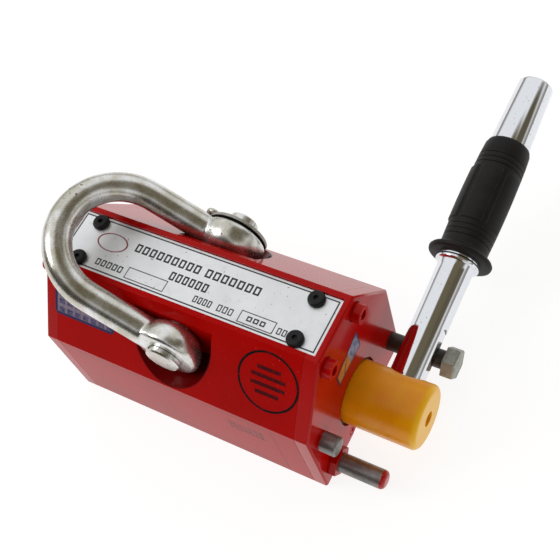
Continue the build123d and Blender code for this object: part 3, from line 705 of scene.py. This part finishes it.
def end_shaping():
    """Back to object mode, with all faces outwards."""
    bpy.ops.mesh.select_all(action="SELECT")
    bpy.ops.mesh.normals_make_consistent(inside=False)
    bpy.ops.object.mode_set(mode="OBJECT")


def finished(piece, body, slot, *nodes, material=None, smooth=30, even=False):
    """Gives a piece its finish, which is the slot's unless a material is given, puts it in its body, and
    hides the CAD nodes that it stands for.
    """
    piece.data.materials.clear()
    piece.data.materials.append(material or FINISHES[slot])
    select_only(piece)
    bpy.ops.object.shade_smooth_by_angle(angle=math.radians(smooth))
    if even:
        apply_modifier(piece, "WEIGHTED_NORMAL", keep_sharp=True)
    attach(piece, body)
    if nodes:
        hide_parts(*nodes)


def softened(node, name, width):
    """A copy of a CAD node with its edges broken, as paint or tumbling leaves them."""
    source = NODES[node]
    piece = source.copy()
    piece.data = source.data.copy()
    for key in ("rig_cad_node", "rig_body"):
        del piece[key]
    piece.parent = None
    bpy.context.scene.collection.objects.link(piece)
    piece.name = name
    piece.data.name = name
    start_shaping(piece)
    bpy.ops.mesh.customdata_custom_splitnormals_clear()
    bpy.ops.mesh.remove_doubles(threshold=MERGE_DISTANCE)
    bpy.ops.mesh.dissolve_limited(angle_limit=FLAT_ANGLE)
    bpy.ops.object.mode_set(mode="OBJECT")
    break_edges(piece, width, SHARP_EDGE)
    return piece


def turned(name, stations, sides=64):
    """A turned piece on +Z: a circle drawn out through (height, radius) stations, capped at both ends."""
    start, radius = stations[0]
    bpy.ops.mesh.primitive_circle_add(vertices=sides, radius=radius, fill_type="NGON", location=(0, 0, start))
    piece = named(name)
    keep_place(piece)
    start_shaping(piece)
    for height, wanted in stations[1:]:
        extrude(0, 0, height - start)
        share = wanted / radius
        bpy.ops.transform.resize(value=(share, share, 1))
        start, radius = height, wanted
    end_shaping()
    return piece


def in_metres(profile):
    return [(height * MM, radius * MM) for height, radius in profile]


# Forged shackle

BOW_START = 6 * MM
BOW_ARC_CENTRE = 47.3 * MM
BOW_HALF_SPREAD = 32 * MM
BOW_ROD = 7.7 * MM
BOW_SIDES = 48
BOW_STEPS = 64
BOW_ANGLE = math.radians(30)
EYE_INNER = 23.2 * MM
EYE_OUTER = 37.9 * MM
EYE_RADIUS = 17.6 * MM
EYE_NOSE_RADIUS = 9 * MM
DOME_DEPTH = 0.78 * (EYE_OUTER - EYE_INNER)
DOME_STEPS = 10
EYE_RIM = [(1.5, 0.2), (0, 1.9)]  # in millimetres: distance from the outer face, and how much less radius
PIN_BORE = 8.1 * MM
PIN_BORE_SIDES = 64
FORGING_VOXEL = 0.8 * MM


def bow_rod():
    """The round bar of the bow, bent in one plane: one leg, the arc and the other leg."""
    leg = BOW_ARC_CENTRE - BOW_START
    bpy.ops.mesh.primitive_circle_add(
        vertices=BOW_SIDES,
        radius=BOW_ROD,
        fill_type="NGON",
        location=(BOW_START, -BOW_HALF_SPREAD, 0),
        rotation=(0, math.pi / 2, 0),
    )
    rod = named("forged_shackle_bow")
    keep_place(rod)
    start_shaping(rod)
    extrude(leg, 0, 0)
    bpy.ops.mesh.spin(steps=BOW_STEPS, angle=-math.pi, center=(BOW_ARC_CENTRE, 0, 0), axis=(0, 0, 1))
    extrude(-leg, 0, 0)
    end_shaping()
    out = Vector((-math.cos(BOW_ANGLE), 0, math.sin(BOW_ANGLE)))
    pin = Vector((0, 1, 0))
    settle(rod, directed((0, 0, PIN_HEIGHT), out, pin, out.cross(pin)))
    return rod


def shackle_eye(side):
    """One domed eye of the shackle, flat outside."""
    profile = []
    for step in range(DOME_STEPS + 1):
        angle = math.pi / 2 * step / DOME_STEPS
        radius = EYE_NOSE_RADIUS + (EYE_RADIUS - EYE_NOSE_RADIUS) * math.sin(angle)
        profile.append((EYE_INNER + DOME_DEPTH * (1 - math.cos(angle)), radius))
    profile += [(EYE_OUTER - back * MM, EYE_RADIUS - less * MM) for back, less in EYE_RIM]
    eye = turned("shackle_eye", profile)
    out = Vector((0, side, 0))
    settle(eye, directed((0, 0, PIN_HEIGHT), BODY_ALONG, out.cross(BODY_ALONG), out))
    return eye


def forged_shackle():
    """Bar and eyes forged into one piece, then drilled for the pin."""
    bow = bow_rod()
    for side in (-1, 1):
        combine(bow, shackle_eye(side), "UNION")
    apply_modifier(bow, "REMESH", mode="VOXEL", voxel_size=FORGING_VOXEL)
    apply_modifier(bow, "SMOOTH", factor=0.5, iterations=4)
    bpy.ops.mesh.primitive_cylinder_add(
        vertices=PIN_BORE_SIDES,
        radius=PIN_BORE,
        depth=3 * EYE_OUTER,
        location=(0, 0, PIN_HEIGHT),
        rotation=(math.pi / 2, 0, 0),
    )
    combine(bow, named("drill"), "DIFFERENCE")
    return bow


# Lever: rubber grip, collar and end tube

GRIP_START = 88 * MM
GRIP_END = 160 * MM
GRIP_BORE = 9.1 * MM
GRIP_END_RADIUS = 12.3 * MM
GRIP_SWELL = 1 * MM
GRIP_SIDES = 72
GROOVE_COUNT = 3
GROOVE_WIDTH = 1.3 * MM
GROOVE_PITCH = 3.1 * MM
GROOVE_DEPTH = 0.75 * MM
LOWER_GROOVES = 97 * MM
UPPER_GROOVES = 143 * MM
BARREL_STATIONS = [107, 113, 120, 127, 134, 141]  # in millimetres
PANEL_START = BARREL_STATIONS[0] * MM
PANEL_END = BARREL_STATIONS[-1] * MM
PANEL_COUNT = 6
PANEL_INSET = 0.6 * MM
PANEL_RISE = 0.7 * MM
MOULDED_EDGE = 0.18 * MM
MOULDED_SHARP_EDGE = math.radians(25)
FLANGE_END = 6.5 * MM

# Profiles in millimetres: height and radius, and for the grip's tip what is taken off both at its end
FLANGE_PROFILE = [(0.05, 16.2), (0.5, 17.2), (1.3, 17.4), (2.0, 16.9), (3.2, 14.2), (4.6, 12.9)]
GRIP_TIP = [(1.6, 0), (0.4, 0.5), (0, 0.6)]
COLLAR_PROFILE = [(83.4, 10.6), (83.7, 11.7), (84.3, 12.2), (85.5, 12.3), (86.2, 12.0), (86.6, 11.2)]
END_TUBE_PROFILE = [(156, 11.55), (160, 11.5), (202.1, 10.25), (202.8, 10.1), (203.3, 9.75), (203.6, 9.25)]
END_TUBE_SIDES = 96


def on_lever(piece):
    """Lays a piece that was made on +Z along the lever, from the lever's root outwards."""
    settle(piece, directed(LEVER_ROOT, BODY_ALONG, LEVER_OUT.cross(BODY_ALONG), LEVER_OUT))
    return piece


def grip_station(height):
    """A station on the grip's barrel, which swells towards its middle."""
    share = (height - GRIP_START) / (GRIP_END - GRIP_START)
    return height, GRIP_END_RADIUS + 4 * GRIP_SWELL * share * (1 - share)


def ring_grooves(first):
    """Stations for the ring grooves, one pitch apart."""
    made = []
    for groove in range(GROOVE_COUNT):
        start, radius = grip_station(first + groove * GROOVE_PITCH)
        floor_radius = radius - GROOVE_DEPTH
        made.append((start, radius))
        made.append((start + 0.3 * GROOVE_WIDTH, floor_radius))
        made.append((start + 0.7 * GROOVE_WIDTH, floor_radius))
        made.append((start + GROOVE_WIDTH, radius))
    return made


def grip_profile():
    """Stations of the whole grip: flange, grooves, barrel, grooves and rounded tip."""
    flange = [(GRIP_START + height, radius) for height, radius in in_metres(FLANGE_PROFILE)]
    flange.append(grip_station(GRIP_START + FLANGE_END))
    face = (flange[0][0], GRIP_BORE)
    barrel = [grip_station(height * MM) for height in BARREL_STATIONS]
    tip = [(GRIP_END - back, GRIP_END_RADIUS - less) for back, less in in_metres(GRIP_TIP)]
    return [face, *flange, *ring_grooves(LOWER_GROOVES), *barrel, *ring_grooves(UPPER_GROOVES), *tip]


def raise_panels(grip):
    """Raises panels on the barrel, with a groove of two columns of faces between them."""
    columns = GRIP_SIDES // PANEL_COUNT
    for panel in range(PANEL_COUNT):
        select_only(grip)
        for face in grip.data.polygons:
            turn = math.atan2(face.center.y, face.center.x) % math.tau
            column = int(turn / math.tau * GRIP_SIDES) - panel * columns
            on_barrel = PANEL_START < face.center.z < PANEL_END and len(face.vertices) == 4
            face.select = on_barrel and 0 < column < columns - 1
        bpy.ops.object.mode_set(mode="EDIT")
        bpy.ops.mesh.select_mode(type="FACE")
        bpy.ops.mesh.inset(thickness=PANEL_INSET, depth=PANEL_RISE)
        bpy.ops.object.mode_set(mode="OBJECT")


def rubber_grip():
    """Grip with a thin flange, ring grooves at both ends and raised panels between them."""
    grip = turned("ribbed_rubber_grip", grip_profile(), GRIP_SIDES)
    raise_panels(grip)
    break_edges(grip, MOULDED_EDGE, MOULDED_SHARP_EDGE)
    bpy.ops.mesh.primitive_cylinder_add(
        vertices=GRIP_SIDES,
        radius=GRIP_BORE,
        depth=2 * (GRIP_END - GRIP_START),
        location=(0, 0, (GRIP_START + GRIP_END) / 2),
    )
    combine(grip, named("bore"), "DIFFERENCE")
    return on_lever(grip)


def collar_ring():
    """Rolled edge of the lever tube's collar, just under the grip's flange."""
    return on_lever(turned("rolled_collar_ring", in_metres(COLLAR_PROFILE)))


def end_tube():
    """Slightly tapered chromed end of the lever, closed, with a small radius round its tip."""
    return on_lever(turned("chromed_end_tube", in_metres(END_TUBE_PROFILE), END_TUBE_SIDES))


# Labels


def label_sheet():
    """The label on the near shoulder, with rounded corners."""
    bpy.ops.mesh.primitive_plane_add(size=1)
    sheet = named("shoulder_label")
    sheet.scale = (2 * LABEL_HALF_LENGTH, 2 * LABEL_HALF_WIDTH, 1)
    keep_place(sheet)
    start_shaping(sheet)
    bpy.ops.mesh.bevel(offset=LABEL_CORNER, segments=6, affect="VERTICES")
    bpy.ops.object.mode_set(mode="OBJECT")
    apply_modifier(sheet, "SOLIDIFY", thickness=SHEET_THICKNESS, offset=1)
    share = (BODY_TOP - LABEL_HEIGHT) / (BODY_TOP - SIDE_HEIGHT)
    aside = TOP_HALF_FLAT + share * (BODY_HALF_WIDTH - TOP_HALF_FLAT)
    up = Vector((0, SHOULDER_DOWN.y, -SHOULDER_DOWN.z))
    out = BODY_ALONG.cross(up)
    middle = Vector((LABEL_ALONG, -aside, LABEL_HEIGHT)) + out * SHEET_GAP
    settle(sheet, directed(middle, BODY_ALONG, up, out))
    return sheet


def sticker_sheet():
    """The slanted sticker on the front cover."""
    bpy.ops.mesh.primitive_plane_add(size=1)
    sheet = named("end_sticker")
    left = (STICKER_LEFT, STICKER_BASE_LEFT, STICKER_TOP_LEFT)
    right = (STICKER_RIGHT, STICKER_BASE_RIGHT, STICKER_TOP_RIGHT)
    for vertex in sheet.data.vertices:
        y, base, top = right if vertex.co.x > 0 else left
        z = top if vertex.co.y > 0 else base
        vertex.co = (BODY_END + SHEET_GAP, y, z)
    apply_modifier(sheet, "SOLIDIFY", thickness=SHEET_THICKNESS, offset=1)
    return sheet


# The pieces

for part in frame["record"]["subparts"]:
    node = NODES[part["node"]]
    node.data.materials.clear()
    node.data.materials.append(FINISHES[part["material_slot"]])

# Copies of CAD nodes with broken edges: node, piece name, edge width in millimetres, body and slot
SOFTENED = [
    ("pole_yoke_near", "painted_yoke_near", 0.45, "housing", "red_paint"),
    ("pole_yoke_far", "painted_yoke_far", 0.45, "housing", "red_paint"),
    ("front_end_cover", "painted_front_cover", 0.5, "housing", "red_paint"),
    ("rear_end_cover", "painted_rear_cover", 0.5, "housing", "red_paint"),
    ("front_cover_screws", "painted_front_screws", 0.55, "housing", "red_paint"),
    ("rear_cover_screws", "painted_rear_screws", 0.55, "housing", "red_paint"),
    ("long_pin_nut", "painted_pin_nut", 0.5, "housing", "red_paint"),
    ("nameplate", "printed_nameplate", 0.12, "housing", "plate_aluminium"),
    ("nameplate_screws", "button_screws", 0.2, "housing", "black_oxide"),
    ("stop_bolt", "worn_stop_bolt", 0.35, "housing", "dark_steel"),
    ("long_stop_pin", "drawn_long_pin", 0.3, "housing", "pin_steel"),
    ("short_stop_pin", "drawn_short_pin", 0.3, "housing", "pin_steel"),
    ("hub", "cast_hub", 0.35, "rotor", "hub_plastic"),
    ("lever_tube", "chromed_lever_tube", 0.3, "lever", "lever_chrome"),
    ("shackle_pin", "plated_shackle_pin", 0.3, "shackle", "shackle_zinc"),
    ("shackle_washer", "dark_shackle_washer", 0.25, "shackle", "washer_steel"),
]
PRINTED = {"pole_yoke_near": printed_paint()}

for node, name, width, body, slot in SOFTENED:
    piece = softened(node, name, width * MM)
    finished(piece, body, slot, node, material=PRINTED.get(node), smooth=40, even=True)

finished(forged_shackle(), "shackle", "shackle_zinc", "shackle_bow", smooth=50)
finished(rubber_grip(), "lever", "grip_rubber", "lever_grip", smooth=35)
finished(end_tube(), "lever", "lever_chrome", "lever_end_tube", smooth=50)
finished(collar_ring(), "lever", "lever_chrome", smooth=60)
finished(label_sheet(), "housing", "plate_aluminium", material=shoulder_label())
finished(sticker_sheet(), "housing", "plate_aluminium", material=end_sticker())


# Floor, light and camera

FLOOR_SIZE = 60  # metres, so that its edge stays out of sight
FLOOR_DROP = 0.05 * MM
KEY_PLACE = Vector((-0.9, -0.5, 1.0))
KEY_AIM = Vector((0, 0, 0.05))
KEY_SIZE = 0.5
KEY_POWER = 5
ROOM_STRENGTH = 0.95

# Dim patches in the room: middle, the cosines at the rim and at full strength, and colour
ROOM_PATCHES = [
    ((0.0, 0.0, -1.0), -0.38, -0.12, (0.34, 0.315, 0.28)),
    ((-0.35, -0.93, 0.08), 0.50, 0.80, (0.03, 0.022, 0.018)),
    ((0.49, -0.20, 0.85), 0.80, 0.95, (0.16, 0.14, 0.095)),
    ((0.30, 0.18, 0.93), 0.92, 0.97, (0.17, 0.14, 0.085)),
    ((0.69, 0.40, 0.60), 0.92, 0.975, (0.13, 0.11, 0.07)),
]

CAMERA_PLACE = Vector((0.2320, -0.1644, 0.4961))
CAMERA_HEADING = math.radians(-46.62)
CAMERA_DROP = math.radians(56.90)
CAMERA_ROLL = math.radians(-22.12)
CAMERA_LENS = 63.16


def floor():
    """A pale floor that is partly lit from inside, so that the shadow on it stays faint."""
    bpy.ops.mesh.primitive_plane_add(size=FLOOR_SIZE, location=(0, 0, -FLOOR_DROP))
    ground = named("floor")
    finish = Finish("pale floor", Roughness=0.9, Specular_IOR_Level=0.0, Emission_Strength=0.87)
    drift = finish.noise(0.4, 2.0)
    finish.feed("Base Color", finish.mix(drift, colour(0.22, 0.22, 0.22), colour(0.24, 0.24, 0.24)))
    finish.feed("Emission Color", finish.mix(drift, colour(0.99, 0.99, 0.99), colour(1.0, 1.0, 1.0)))
    ground.data.materials.append(finish.material)


def studio():
    """A white room with dim patches: below, on the near side, and warm ones overhead for the gloss."""
    world = bpy.data.worlds.new("studio")
    bpy.context.scene.world = world
    room = ShaderTree(world, "Background", Strength=ROOM_STRENGTH)
    place = room.node("ShaderNodeTexCoord", {}, {}, "Generated")
    shade = colour(1.0, 1.0, 1.0)
    for middle, rim, full, tint in ROOM_PATCHES:
        sides = {0: place, 1: Vector(middle).normalized()}
        facing = room.node("ShaderNodeVectorMath", {"operation": "DOT_PRODUCT"}, sides, "Value")
        shade = room.mix(facing.ramp(rim, full), shade, colour(*tint))
    room.feed("Color", shade)


def key_light():
    """One weak square lamp, high up beside the rear end, on the near side."""
    lamp = bpy.data.lights.new("soft key", "AREA")
    lamp.shape = "SQUARE"
    lamp.size = KEY_SIZE
    lamp.energy = KEY_POWER
    light = bpy.data.objects.new("soft key", lamp)
    bpy.context.scene.collection.objects.link(light)
    light.location = KEY_PLACE
    light.rotation_euler = (KEY_AIM - KEY_PLACE).to_track_quat("-Z", "Y").to_euler()


def camera():
    """Looks down on the body from its lever end, turned clockwise."""
    level_out = math.cos(CAMERA_DROP)
    look = Vector((
        math.sin(CAMERA_HEADING) * level_out,
        math.cos(CAMERA_HEADING) * level_out,
        -math.sin(CAMERA_DROP),
    ))
    level = look.cross(Vector((0, 0, 1))).normalized()
    right = Quaternion(look, -CAMERA_ROLL) @ level
    lens = bpy.data.cameras.new("camera")
    lens.lens = CAMERA_LENS
    eye = bpy.data.objects.new("camera", lens)
    bpy.context.scene.collection.objects.link(eye)
    eye.matrix_world = directed(CAMERA_PLACE, right, right.cross(look), -look)
    bpy.context.scene.camera = eye


floor()
studio()
key_light()
camera()
bpy.context.scene.view_settings.view_transform = "Standard"
